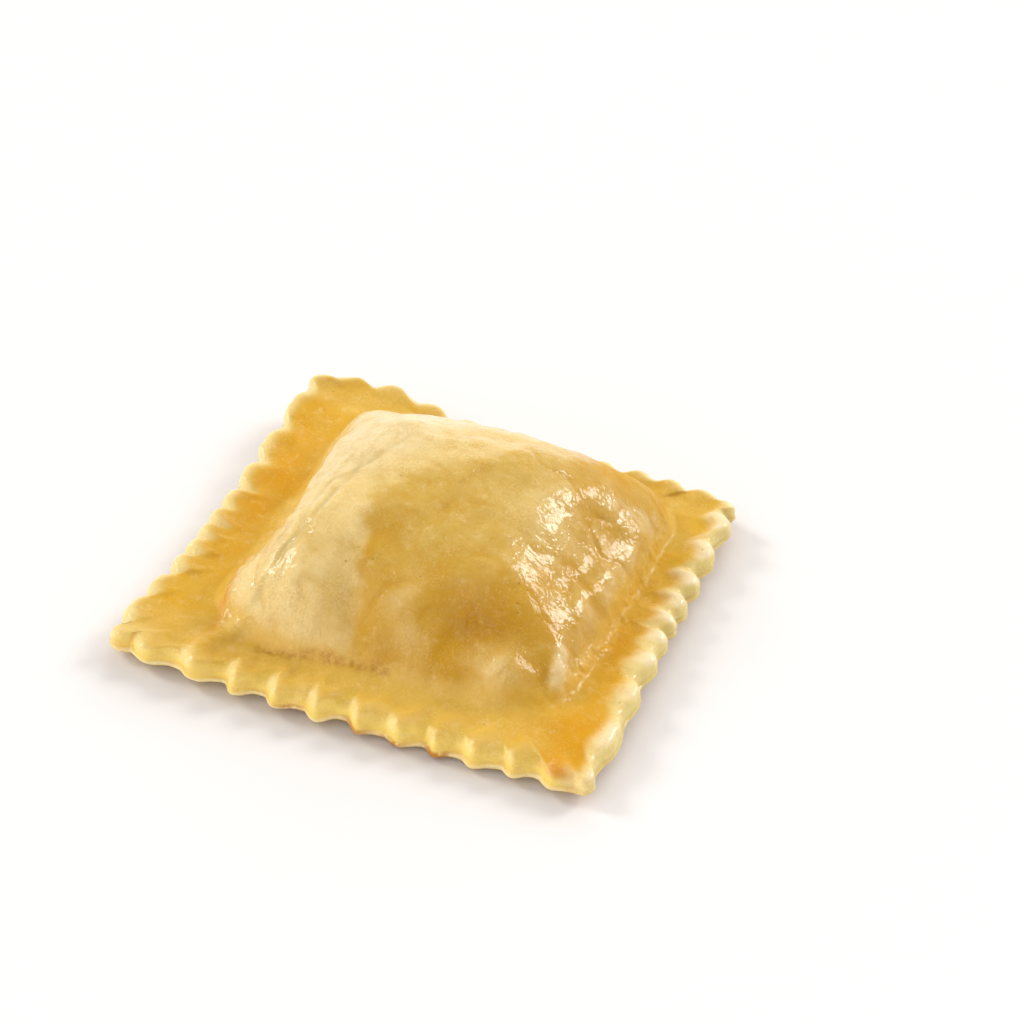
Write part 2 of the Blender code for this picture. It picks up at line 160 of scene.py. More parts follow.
def tooth_at(side, along):
    """1 on a tooth's tip and 0 in a valley, with each tooth a little different."""
    counts, stations = flute_stations(side)
    count = np.interp(along, stations, counts)
    index = np.round(count)
    off = count - index
    at_corner = (index < 0.5) | (index > FLUTES[side] - 0.5)
    lean = np.where(at_corner, 0.0, LEAN[side] + 0.05 * np.sin(5.1 * index + 2.3 * side))
    wave = 0.5 + 0.5 * np.cos(2 * math.pi * (off + lean * (1.0 - 4.0 * off * off)))
    size = np.where(at_corner, 1.0, 0.86 + 0.19 * np.sin(12.9898 * index + 4.1 * side))
    tooth = (1.0 - (1.0 - np.clip(wave, 0.0, 1.0)) ** TIP_FLAT[side]) * size
    return 1.0 - (1.0 - tooth) * (0.85 + 0.20 * np.sin(2.63 * count + 1.9 * side))


def turned(side, e, n):
    """Puts (along, outwards) of a side into x and y."""
    c, s = ((1, 0), (0, 1), (-1, 0), (0, -1))[side]
    return np.stack([c * e + s * n, s * e - c * n], axis=-1)


def edge_points(side, along):
    """Plan position of the edge at tooth-tip level, and its outward direction."""
    near = np.minimum(along, SIDE - along)
    turn = np.where(near < CORNER_RADIUS, (1.0 - near / CORNER_RADIUS) * math.pi / 4, 0.0)
    across = np.where(near < CORNER_RADIUS, CORNER_RADIUS * (1.0 - np.sin(turn)), near)
    first = along < HALF
    e = np.where(first, across, SIDE - across) - HALF
    n = HALF - CORNER_RADIUS * (1 - np.cos(turn))
    n = n + 0.35 * np.sin(math.pi * along / SIDE) * math.cos(2.1 * side + 0.4)
    return (
        turned(side, e, n),
        turned(side, np.where(first, -np.sin(turn), np.sin(turn)), np.cos(turn)),
    )


def tip_stations(side, segments):
    """Distances along a side for so many points: most go to the teeth, so that each tip has one."""
    counts, stations = flute_stations(side)
    flutes = FLUTES[side]
    per_tooth = (segments - 4) // (flutes - 1) // 2 * 2
    middle = per_tooth * (flutes - 1)
    first = (segments - middle) // 2
    spread = np.concatenate(
        [
            np.linspace(0.0, 0.5, first, endpoint=False),
            np.linspace(0.5, flutes - 0.5, middle, endpoint=False),
            np.linspace(flutes - 0.5, flutes, segments - first - middle, endpoint=False),
        ]
    )
    return np.interp(spread, counts, stations)


def even_stations(side, segments):
    """Distances along a side for so many points, evenly apart."""
    return np.linspace(0.0, SIDE, segments, endpoint=False)


class Rings:
    """The lines that run in from each edge point to a point of the inner square, counter-clockwise from the front left corner."""

    def __init__(self, segments, stations):
        tips, outs, along, inner_along, inner, sides = [], [], [], [], [], []
        for side in range(4):
            a = stations(side, segments)
            tip, out = edge_points(side, a)
            step = np.linspace(-INNER_HALF, INNER_HALF, segments, endpoint=False)
            tips.append(tip)
            outs.append(out)
            along.append(a)
            inner_along.append(step + HALF)
            inner.append(turned(side, step, np.full(segments, INNER_HALF)))
            sides.append(np.full(segments, side))
        self.segments = segments
        self.tips, self.outs, self.inner = map(np.concatenate, (tips, outs, inner))
        self.along, self.inner_along = map(np.concatenate, (along, inner_along))
        self.sides = np.concatenate(sides)
        self.tooth = self.teeth(self.along)
        near = np.minimum(self.along, SIDE - self.along)
        self.corner = np.exp(-((near / 5.2) ** 2))

    def teeth(self, along):
        found = np.zeros_like(along)
        for side in range(4):
            mine = self.sides == side
            found[mine] = tooth_at(side, along[mine])
        return found

    def by_side(self, values):
        """A figure of each side, with the change spread over the corners."""
        values = np.asarray(values, float)
        own = values[self.sides]
        before, after = values[(self.sides - 1) % 4], values[(self.sides + 1) % 4]
        near = np.clip(self.along / 8.0, 0, 1)
        far = np.clip((SIDE - self.along) / 8.0, 0, 1)
        own = own + (before - own) * 0.5 * (1 - near) ** 2
        return own + (after - own) * 0.5 * (1 - far) ** 2

    def ring(self, angle, way=None):
        """One ring: its places, and how far in from the cut edge, which tooth and what share of the line each is.

        The angle is 0 at the seam, 90 on top and -90 below. Round the cut edge
        the angle alone says how far in the ring is; after that, way goes from 0
        there to 1 at the inner square.
        """
        rise = 0.5 + 0.5 * math.sin(math.radians(angle))
        depth = self.by_side(TOOTH_DEPTH) * (LEDGE_SHARE + (1 - LEDGE_SHARE) * rise)
        start = self.tips - self.outs * (depth * (1.0 - self.tooth))[:, None]
        reach = np.linalg.norm(start - self.inner, axis=1)
        wide = self.by_side(EDGE_WIDE) + self.by_side(EDGE_TIP) * self.tooth
        wide = wide * (1.0 if angle > 0 else LOW_ROUND)
        if way is None:
            power = EDGE_POWER[0 if angle > 0 else 1]
            inward = wide * (1.0 - math.cos(math.radians(angle)) ** power)
        else:
            inward = wide + (reach - wide) * way
        share = inward / reach
        place = start * (1.0 - share)[:, None] + self.inner * share[:, None]
        tooth = self.teeth(self.along * (1 - share) + self.inner_along * share)
        return place, inward, tooth, share


# ---- heights -------------------------------------------------------------------
def seam_height(x, y):
    """Height of the joint between the two sheets: the flange is nearly level and lifts at the rear left."""
    rear_left = hump(x, y, -31.0, 31.0, 15.0, 9.0, -45.0)
    return (
        SEAM_HEIGHT
        + 2.1 * rear_left
        + 0.5 * hump(x, y, -30.0, 12.0, 4.0, 8.0)
        - 0.35 * hump(x, y, -30.0, -30.0, 8.0, 8.0)
        - 0.30 * hump(x, y, 4.0, -31.0, 14.0, 4.0)
        + 0.35 * hump(x, y, 31.0, 4.0, 4.0, 12.0)
        + 0.22 * unevenness(x, y, 23.0, 0.6)
    )


def foot_share(x, y):
    """0 in the middle of the pillow and 1 on its foot line, with the four sides' weights."""
    cx, cy = (FOOT_RIGHT - FOOT_LEFT) / 2, (FOOT_REAR - FOOT_FRONT) / 2
    u = (x - cx) / ((FOOT_RIGHT + FOOT_LEFT) / 2)
    v = (y - cy) / ((FOOT_REAR + FOOT_FRONT) / 2)
    power = FOOT_POWER[0] + (FOOT_POWER[1] - FOOT_POWER[0]) * smoothstep(-0.4, 0.6, v)
    share = (np.abs(u) ** power + np.abs(v) ** power + 1e-12) ** (1 / power)
    share = share * (
        1.0
        + 0.014 * unevenness(x, y, 13.0, 4.1)
        - 0.075 * hump(x, y, 21.0, 21.0, 5.5, 5.5)
        - 0.045 * hump(x, y, -21.0, -18.0, 5.0, 6.0)
        + 0.022 * hump(x, y, -18.0, 21.0, 4.5, 5.0)
    )
    far = np.hypot(u, v) + 1e-9
    weights = (
        np.where(v < 0, (v / far) ** 2, 0.0),
        np.where(u > 0, (u / far) ** 2, 0.0),
        np.where(v > 0, (v / far) ** 2, 0.0),
        np.where(u < 0, (u / far) ** 2, 0.0),
    )
    return share, weights, u / far, v / far


def pillow_form(x, y):
    """Relative height of the pillow, 0 on the foot line, and how its wall is pushed sideways."""
    share, weights, du, dv = foot_share(x, y)
    power = sum(w * p for w, p in zip(weights, SHOULDER))
    bulge = sum(w * b for w, b in zip(weights, WALL_BULGE))
    soft = sum(w * f for w, f in zip(weights, FILLET))
    rise = 1.0 - np.clip(share, 0.0, 1.4) ** power
    rise = (rise + np.sqrt(rise * rise + soft * soft)) / 2
    flare = WAIST * hump(x, y, -22.0, -3.0, 9.0, 8.5)
    rise = rise * (1.0 - flare * smoothstep(0.77, 0.93, share))
    push = bulge * (1.0 - flare) * 4.0 * rise * (1.0 - rise)
    return rise, push * du, push * dv


def pillow_height(x, y):
    """How high the filling holds the top sheet: highest behind the middle, slumped to the front."""
    return DOME_HEIGHT * (
        1.0
        + 0.10 * hump(x, y, -2.0, 6.0, 12.0, 9.0)
        - 0.16 * hump(x, y, 20.0, -20.0, 15.0, 11.0, -40.0)
        + 0.02 * hump(x, y, 18.0, 17.0, 8.0, 8.0)
        - 0.25 * hump(x, y, -11.5, 19.5, 5.0, 5.0)
    )


def pillow_folds(x, y):
    """Dents, soft valleys and lumps of the cooked top sheet, in millimetres."""
    return (
        0.60 * hump(x, y, -12.5, -13.5, 4.5, 4.5)  # full front left corner
        - 0.60 * fold(x, y, (-7.0, -9.0), (-6.4, -15.0), 1.3, 2.0)  # valley beside it
        - 0.70 * fold(x, y, (-6.2, -14.5), (-3.4, -21.5), 1.5, 2.0)
        - 1.00 * hump(x, y, -4.7, -9.3, 2.5, 1.9)  # dent at the valley's head
        + 0.60 * hump(x, y, 1.2, -16.7, 2.4, 2.0)
        - 0.30 * hump(x, y, 3.5, -11.0, 5.0, 2.6)
        - 0.90 * hump(x, y, 9.5, -16.0, 4.2, 2.2)  # hollow over the front foot
        + 1.10 * hump(x, y, 14.8, -19.6, 2.3, 2.3)  # lump under the hollow
        - 0.85 * fold(x, y, (17.0, 7.0), (16.6, -9.0), 1.5, 2.5)  # soft valley in the right wall
        + 1.05 * fold(x, y, (22.0, 12.0), (21.7, 3.5), 1.2, 1.8)  # slack skin below it
        + 0.85 * fold(x, y, (21.6, 3.0), (20.2, -3.5), 1.2, 1.8)
        + 0.45 * hump(x, y, 19.2, -6.5, 1.4, 2.2)
        + 0.60 * fold(x, y, (21.3, -18.4), (18.6, -12.5), 0.8, 1.6)  # pinched end of that wall
        + 0.40 * hump(x, y, 13.0, 3.5, 3.0, 4.0)
        + 0.50 * fold(x, y, (-7.0, -3.0), (8.0, 9.5), 2.3, 4.0)  # edge of the flatter top
        - 0.30 * fold(x, y, (-14.5, -4.0), (-8.0, 6.5), 1.4, 2.5)
        + 0.26 * unevenness(x, y, 17.0, 2.2)
        + 0.16 * unevenness(x, y, 8.5, 0.9)
    )


def sheets(x, y, inward, ridge, corner):
    """Top and bottom of the dough, before the cut edge is rounded."""
    trough = TROUGH_DEPTH * smoothstep(1.5, 4.5, inward) * (1.0 - smoothstep(6.5, 10.0, inward))
    lip = CORNER_LIP * corner * np.exp(-(((inward - 0.9) / 1.1) ** 2))
    middle = seam_height(x, y)
    half = FLANGE_THICK / 2
    rise, push_x, push_y = pillow_form(x, y)
    share = foot_share(x, y)[0]
    top = (
        middle
        + half
        + 0.66 * ridge
        + lip
        - 0.7 * trough
        - 0.45 * hump(x, y, 26.0, -26.5, 2.2, 1.6, 35.0)
        + 0.45 * fold(x, y, (-16.8, -21.0), (-20.6, -26.6), 0.8, 1.2)
        + (0.14 * unevenness(x, y, 9.0, 1.3) + 0.10 * unevenness(x, y, 5.2, 2.7)) * smoothstep(1.0, 3.0, inward)
        + rise * pillow_height(x, y)
        + smoothstep(0.0, 0.15, rise) * pillow_folds(x, y)
    )
    bottom = middle - half - 0.34 * ridge + 0.15 * trough
    sag = FRONT_SAG * fold(x, y, (-2.0, -31.0), (26.0, -31.0), 2.4, 8.0)
    bottom = np.maximum(bottom - sag, 0.12)
    bottom = bottom * smoothstep(BELLY_FLAT, BELLY_EDGE, share)
    return top, bottom, push_x, push_y


def pulled(x, y):
    """Plan position after the uneven stretch of the square."""
    dx, dy = np.full_like(x, SHIFT[0]), np.full_like(y, SHIFT[1])
    for cx, cy, px, py, reach in PULLS:
        share = hump(x, y, cx, cy, reach, reach)
        dx, dy = dx + px * share, dy + py * share
    return x + dx, y + dy


def surface(place, inward, ridge, corner, angle):
    """Points of the dough's skin; angle is 0 at the seam, 90 degrees on top and -90 below."""
    x, y = place[..., 0], place[..., 1]
    top, bottom, push_x, push_y = sheets(x, y, inward, ridge, corner)
    seam = bottom + (top - bottom) * SEAM_SHARE
    height = abs(math.sin(math.radians(angle))) ** EDGE_POWER[0 if angle > 0 else 1]
    if angle < 0:
        px, py = pulled(x, y)
        return np.stack([px, py, seam + (bottom - seam) * height], -1)
    px, py = pulled(x + push_x, y + push_y)
    return np.stack([px, py, seam + (top - seam) * height], -1)


# ---- mesh ------------------------------------------------------------------------
def ring_points(rings, way, angle):
    """One ring of the skin, and for each point its plan place, distance in, tooth and level."""
    place, inward, tooth, share = rings.ring(angle, way)
    reach = rings.by_side(RIDGE_REACH)
    ridge = rings.by_side(RIDGE) * (tooth - 0.5) * np.exp(-((inward / reach) ** 3))
    ridge = ridge * (1.0 - smoothstep(0.5, 1.0, share)) * (1.0 - 0.9 * rings.corner)
    level = np.full(len(inward), math.sin(math.radians(angle)))
    facts = np.column_stack([place, inward, tooth, level])
    return surface(place, inward, ridge, rings.corner, angle), facts


def grid_points(cells, upper):
    line = np.linspace(-INNER_HALF, INNER_HALF, cells + 1)
    gx, gy = np.meshgrid(line, line, indexing="ij")
    place = np.stack([gx, gy], -1).reshape(-1, 2)
    depth = HALF - np.abs(place).max(axis=1)
    nothing = np.zeros(len(place))
    facts = np.column_stack([place, depth, nothing, np.full(len(place), 1.0 if upper else -1.0)])
    return surface(place, depth, nothing, nothing, 90.0 if upper else -90.0), facts


def band(outer, within, upper):
    """Quads between two rings of the same length."""
    a, b, c, d = outer, np.roll(outer, -1), np.roll(within, -1), within
    quads = np.stack([a, b, c, d] if upper else [d, c, b, a], -1)
    return quads


def halved(outer, within, upper):
    """Triangles between a ring and one with half as many points."""
    a, b, c = outer[0::2], outer[1::2], np.roll(outer[0::2], -1)
    d, e = within, np.roll(within, -1)
    triangles = np.concatenate(
        [np.stack([a, b, d], -1), np.stack([b, e, d], -1), np.stack([b, c, e], -1)]
    )
    return triangles if upper else triangles[:, ::-1]


def grid_border(grid):
    return np.concatenate([grid[:-1, 0], grid[-1, :-1], grid[:0:-1, -1], grid[0, :0:-1]])


def skin(segments, stations, top_angles, low_angles, top_band, low_band, top_cells, low_wide):
    """The whole closed skin: points, their facts, quads and triangles. low_wide is how many of the lower sheet's rings keep all their points before every other one is dropped."""
    rings = Rings(segments, stations)
    points, facts, quads, triangles = [], [], [], []
    count = 0

    def add(new, step=1):
        nonlocal count
        places, known = new
        points.append(places[::step])
        facts.append(known[::step])
        count += len(points[-1])
        return np.arange(count - len(points[-1]), count)

    seam = add(ring_points(rings, None, 0.0))
    for upper in (True, False):
        places = [(None, a) for a in (top_angles if upper else low_angles)]
        places += [(w, 90.0 if upper else -90.0) for w in (top_band if upper else low_band)]
        last = seam
        for k, (way, angle) in enumerate(places):
            step = 2 if not upper and k >= low_wide else 1
            new = add(ring_points(rings, way, angle), step)
            if len(new) == len(last):
                quads.append(band(last, new, upper))
            else:
                triangles.append(halved(last, new, upper))
            last = new
        cells = top_cells if upper else len(last) // 4
        grid = add(grid_points(cells, upper)).reshape(cells + 1, cells + 1)
        cell = np.stack(
            [grid[:-1, :-1], grid[1:, :-1], grid[1:, 1:], grid[:-1, 1:]], -1
        ).reshape(-1, 4)
        quads.append(cell if upper else cell[:, ::-1])
        border = grid_border(grid)
        if len(border) == len(last):
            quads.append(band(last, border, upper))
        else:
            triangles.append(halved(last, border, upper))
    triangles = np.concatenate(triangles) if triangles else np.zeros((0, 3), int)
    return np.concatenate(points), np.concatenate(facts), np.concatenate(quads), triangles


# ---- resolution of the skin ---------------------------------------------------
SEGMENTS = 220  # points along each side of the fluted edge
TOP_ANGLES = (8.0, 17.0, 28.0, 41.0, 55.0, 71.0, 90.0)
LOW_ANGLES = (-6.0, -13.0, -21.0, -30.0, -41.0, -55.0, -71.0, -90.0)
TOP_BAND = tuple(np.linspace(0.06, 0.94, 15))
LOW_BAND = (0.12, 0.27, 0.43, 0.61, 0.80)


# ---- noise ----------------------------------------------------------------------
def lattice(seed):
    source = np.random.RandomState(seed)
    order = source.permutation(256)
    slopes = source.normal(size=(256, 3))
    return order, slopes / np.linalg.norm(slopes, axis=1)[:, None]


def noise(p, seed):
    """Gradient noise at points p in cells of size 1, about -1 to 1."""
    order, slopes = lattice(seed)
    cell = np.floor(p).astype(np.int64)
    f = p - cell
    u = f * f * f * (f * (f * 6 - 15) + 10)
    total = np.zeros(len(p))
    for corner in range(8):
        o = np.array([corner & 1, corner >> 1 & 1, corner >> 2 & 1])
        c = cell + o
        key = order[(order[(order[c[:, 0] & 255] + c[:, 1]) & 255] + c[:, 2]) & 255]
        weight = np.prod(np.where(o, u, 1 - u), axis=1)
        total += weight * ((f - o) * slopes[key]).sum(1)
    return total * 1.6


def fractal(p, size, octaves, seed, fade=0.5):
    """Layers of noise from one size down, each half as large; about -1 to 1."""
    total, strength, whole = np.zeros(len(p)), 1.0, 0.0
    for k in range(octaves):
        total += strength * noise(p / (size * 0.5**k) + 17.3 * k, seed + k)
        whole += strength
        strength *= fade
    return total / whole


def grained(p, length, width, turn, seed):
    """Noise drawn out along one direction in plan."""
    c, s = math.cos(math.radians(turn)), math.sin(math.radians(turn))
    u, v = p[:, 0] * c + p[:, 1] * s, -p[:, 0] * s + p[:, 1] * c
    return noise(np.column_stack([u / length, v / width, p[:, 2] / (2 * width)]), seed)


# ---- skin -----------------------------------------------------------------------
def corner_normals(points, quads, triangles):
    """Normals of the points, from the faces round each."""
    total = np.zeros_like(points)
    for faces in (quads, triangles):
        if not len(faces):
            continue
        a, b, c = points[faces[:, 0]], points[faces[:, 1]], points[faces[:, 2]]
        d = points[faces[:, -1]]
        cross = np.cross(c - a, d - b) if faces.shape[1] == 4 else np.cross(b - a, c - a)
        for k in range(faces.shape[1]):
            np.add.at(total, faces[:, k], cross)
    return total / (np.linalg.norm(total, axis=1)[:, None] + 1e-12)


def regions(points, facts):
    """Soft masks, 0 to 1, that say where on the raviolo each point lies."""
    x, y, inward, tooth, level = facts.T
    rise = pillow_form(x, y)[0]
    on_top = smoothstep(-0.15, 0.35, level)
    over_filling = smoothstep(0.03, 0.22, rise) * on_top
    rim = (1.0 - smoothstep(1.1, 2.9, inward)) * np.ones_like(x)
    return {
        "rise": rise,
        "top": on_top,
        "pillow": over_filling,
        "rim": rim,
        "flange": on_top * (1.0 - over_filling) * (1.0 - rim),
        "tooth": tooth * rim,
    }


def lines(x, y, path, width, soft=1.2):
    """A crease of height 1 along a path of straight pieces."""
    found = np.zeros_like(x)
    for start, end in zip(path, path[1:]):
        found = np.maximum(found, fold(x, y, start, end, width, soft))
    return found


def gloss_patches(points, x, y):
    """Where the wet skin of the right slope is crinkled, 0 to 1."""
    shoulder = lines(x, y, ((6.5, 6.5), (11.0, 4.5), (13.0, -2.0), (13.2, -9.5)), 2.6, 2.0)
    skirt = lines(x, y, ((21.0, 17.0), (20.8, 6.0), (20.0, -3.0), (18.2, -10.0)), 2.0, 2.0)
    rear = hump(x, y, 16.5, 9.5, 3.5, 3.0)
    tail = 0.7 * lines(x, y, ((18.4, -9.0), (20.2, -15.5)), 1.2, 1.5)
    whole = np.clip(shoulder + skirt + tail + 0.8 * rear, 0.0, 1.0)
    whole = whole * smoothstep(-0.55, 0.25, fractal(points, 3.2, 2, 55))
    facet = 0.9 * lines(x, y, ((19.5, -13.2), (20.2, -17.6)), 0.6, 0.8)
    return np.maximum(np.maximum(whole, facet), hump(x, y, 20.6, 6.5, 1.8, 4.0))


# where the top sheet is pinched along the foot of the pillow
RIGHT_FOOT = (
    (22.4, 18.3), (22.6, 14.0), (22.7, 10.0), (23.0, 5.4), (22.4, 0.4), (22.8, -2.5),
    (23.1, -5.4), (22.6, -9.2), (21.7, -13.0), (21.1, -16.0), (20.7, -18.8), (18.9, -15.1),
)
FRONT_FOOT = (
    (-14.4, -23.7), (-11.5, -23.8), (-9.2, -23.4),
    (-6.9, -22.9), (-3.1, -23.0), (-0.7, -22.7), (1.8, -22.4),
)
LEFT_FOOT = (
    (-22.5, 3.6), (-22.3, -3.3), (-21.5, -9.6), (-20.3, -16.0), (-19.7, -20.5), (-19.2, -23.4),
)


def relief(points, normals, facts, at):
    """Height of the finer relief over the smooth form, in millimetres, and what it says about the tones."""
    x, y, inward, tooth, level = facts.T
    pillow, rim, top = at["pillow"], at["rim"], at["top"]
    bare = (1 - pillow) * (1 - rim)
    wander = 0.7 * fractal(points, 5.0, 2, 91)
    # lumps of filling felt through the dough, and the sheet's own unevenness
    lumps = 0.24 * fractal(points, 6.5, 2, 11) + 0.15 * fractal(points, 2.9, 2, 21)
    # shallow troughs where the sheet has settled between the lumps
    settled = np.exp(-((fractal(points, 8.0, 2, 25) / 0.10) ** 2))
    settled *= smoothstep(-0.15, 0.35, fractal(points, 12.0, 1, 28))
    # leathery wrinkles: finer on the walls, and drawn out down the slope on the right
    left = smoothstep(-8.0, -15.0, x)
    gloss = gloss_patches(points, x, y) * pillow
    drawn = 1.0 - np.abs(grained(points, 2.2, 0.90, -40.0, 31))
    finer = 1.0 - np.abs(grained(points, 1.4, 0.55, -52.0, 33))
    lengthwise = 1.0 - np.abs(grained(points, 4.2, 0.75, 78.0, 37))
    fibres = 1.0 - np.abs(grained(points, 2.4, 0.46, 70.0, 39))
    crossed = 1.0 - np.abs(fractal(points, 1.5, 2, 41))
    pebbled = fractal(points, 0.95, 2, 45)
    patches = smoothstep(-0.2, 0.45, fractal(points, 7.0, 2, 51))
    wrinkles = (
        0.065 * gloss * (drawn - 0.75)
        + 0.050 * gloss * (finer - 0.75)
        + 0.085 * left * (lengthwise - 0.75) * (0.3 + 0.7 * patches)
        + 0.040 * left * (fibres - 0.75) * patches
        + 0.030 * (crossed - 0.75) * (0.3 + 0.7 * patches)
        + 0.015 * pebbled * (0.3 + 0.7 * (1 - patches))
    )
    # the cut edge is a little torn, and the teeth are pressed unevenly
    torn = 0.15 * fractal(points, 1.7, 2, 61) + 0.20 * fractal(points, 3.6, 1, 71)
    # seam between the two sheets, low on the cut edge, and the lower sheet's lip
    seam = -0.20 * np.exp(-(((level + 0.20) / 0.11) ** 2)) * (0.6 + 0.5 * fractal(points, 5.0, 1, 81))
    seam += 0.12 * np.exp(-(((level + 0.52) / 0.18) ** 2))
    height = pillow * (lumps - 0.16 * settled + wrinkles)
    height += bare * (0.75 * lumps + 0.03 * (crossed - 0.75) + 0.02 * pebbled)
    height += rim * torn + seam
    # pressed creases that run along the left shoulder
    creases = np.zeros_like(x)
    for path, width, depth in (
        (((-11.8, 1.0), (-12.4, -4.5), (-12.8, -9.0)), 0.30, 0.20),
        (((-12.6, -6.0), (-13.6, -11.0), (-14.9, -16.0)), 0.28, 0.22),
        (((-13.9, -2.0), (-14.6, -8.0), (-14.4, -12.0)), 0.24, 0.14),
        (((-14.0, -13.5), (-15.4, -17.0), (-16.6, -20.5)), 0.30, 0.22),
        (((-15.6, -11.0), (-16.4, -14.5), (-17.0, -18.0)), 0.26, 0.15),
        (((-13.0, -12.5), (-14.0, -15.5), (-14.4, -19.0)), 0.22, 0.12),
        (((-14.6, -4.5), (-12.5, -1.5), (-10.2, 1.5)), 0.26, 0.15),
        (((-10.9, 0.0), (-9.4, 3.0), (-7.6, 6.5)), 0.26, 0.13),
    ):
        creases += 0.7 * depth * lines(x + wander, y, path, width)
    height -= top * pillow * creases
    # the sheet pinched along the foot: a ridge at the left, a broken one at the
    # right and a groove along the front
    broken = smoothstep(-0.30, 0.25, fractal(points, 1.2, 2, 95))
    slow = 0.5 * fractal(points, 2.4, 2, 97)
    left_foot = lines(x + slow, y, LEFT_FOOT, 0.40, 0.6)
    right_foot = lines(x + slow, y, RIGHT_FOOT, 0.46, 0.5)
    front_foot = lines(x, y + 0.7 * slow, FRONT_FOOT, 0.36, 0.6)
    low_end = smoothstep(-2.0, -8.0, y)
    dashes = smoothstep(-0.05, 0.35, fractal(points, 0.95, 2, 99))
    height += top * 0.22 * left_foot * (0.25 + 0.75 * broken)
    height += top * 0.32 * right_foot * low_end * (0.35 + 0.65 * broken)
    height += top * (0.28 - 0.12 * low_end) * lines(x, y, RIGHT_FOOT, 1.0) * fractal(points, 1.4, 2, 85)
    height += top * 0.22 * lines(x, y, ((19.7, -13.0), (20.4, -17.4)), 0.6, 0.8)
    height += top * 0.15 * right_foot * (1 - low_end) * dashes
    height += top * 0.22 * hump(x, y, -16.4, -18.2, 0.9, 0.7)
    height += top * 0.26 * hump(x, y, -17.7, -22.4, 1.0, 0.6)
    height -= top * 0.22 * front_foot * (0.4 + 0.6 * broken)
    # below, the dough only has the table's faint print
    under = smoothstep(-0.6, -0.95, level)
    contact = 1.0 - smoothstep(0.05, 0.8, points[:, 2])
    height = height * (1 - under * 0.6) * (1 - contact)
    signs = {
        # hollow: where the relief lies low between the lumps; the tones paint shade there
        "hollow": pillow * np.clip(0.5 - 2.4 * lumps + 0.9 * settled, 0.0, 1.0),
        "creases": np.clip(creases * 5.0, 0.0, 1.0) * top * pillow,
        "gloss": gloss,
        "left_foot": left_foot * top,
        "right_foot": right_foot * top * low_end,
        "front_foot": front_foot * top,
        "broken": broken,
    }
    return height, signs


def softened(points, facts):
    """Rounds the creases that the fluting leaves on top where it runs into a corner."""
    rows, wide = 1 + len(TOP_ANGLES) + len(TOP_BAND), 4 * SEGMENTS
    x, y, inward = facts[: rows * wide, :3].T
    share = smoothstep(21.5, 25.0, np.minimum(np.abs(x), np.abs(y))) * smoothstep(0.25, 1.1, inward)
    share = share.reshape(rows, wide, 1)[1:-1]
    sheet = points[: rows * wide].reshape(rows, wide, 3).copy()
    for _ in range(14):
        beside = (np.roll(sheet, 1, axis=1) + np.roll(sheet, -1, axis=1))[1:-1]
        around = (sheet[:-2] + sheet[2:] + beside) / 4
        sheet[1:-1] += 0.6 * share * (around - sheet[1:-1])
    return np.concatenate([sheet.reshape(-1, 3), points[rows * wide :]])


def skin_mesh():
    points, facts, quads, triangles = skin(
        SEGMENTS, even_stations, TOP_ANGLES, LOW_ANGLES, TOP_BAND, LOW_BAND, SEGMENTS, 7
    )
    points = softened(points, facts)
    at = regions(points, facts)
    normals = corner_normals(points, quads, triangles)
    height, signs = relief(points, normals, facts, at)
    points = points + normals * height[:, None]
    points[:, 2] = np.maximum(points[:, 2], 0.0)
    mesh = bpy.data.meshes.new("raviolo_skin")
    mesh.from_pydata((points / 1000.0).tolist(), [], quads.tolist() + triangles.tolist())
    mesh.validate()
    mesh.shade_smooth()
    return mesh, points, normals, facts, at, signs


def give(mesh, name, values):
    """Stores one number a point, for the material."""
    layer = mesh.attributes.new(name, "FLOAT", "POINT")
    layer.data.foreach_set("value", np.clip(values, 0.0, 1.0).astype(np.float32))


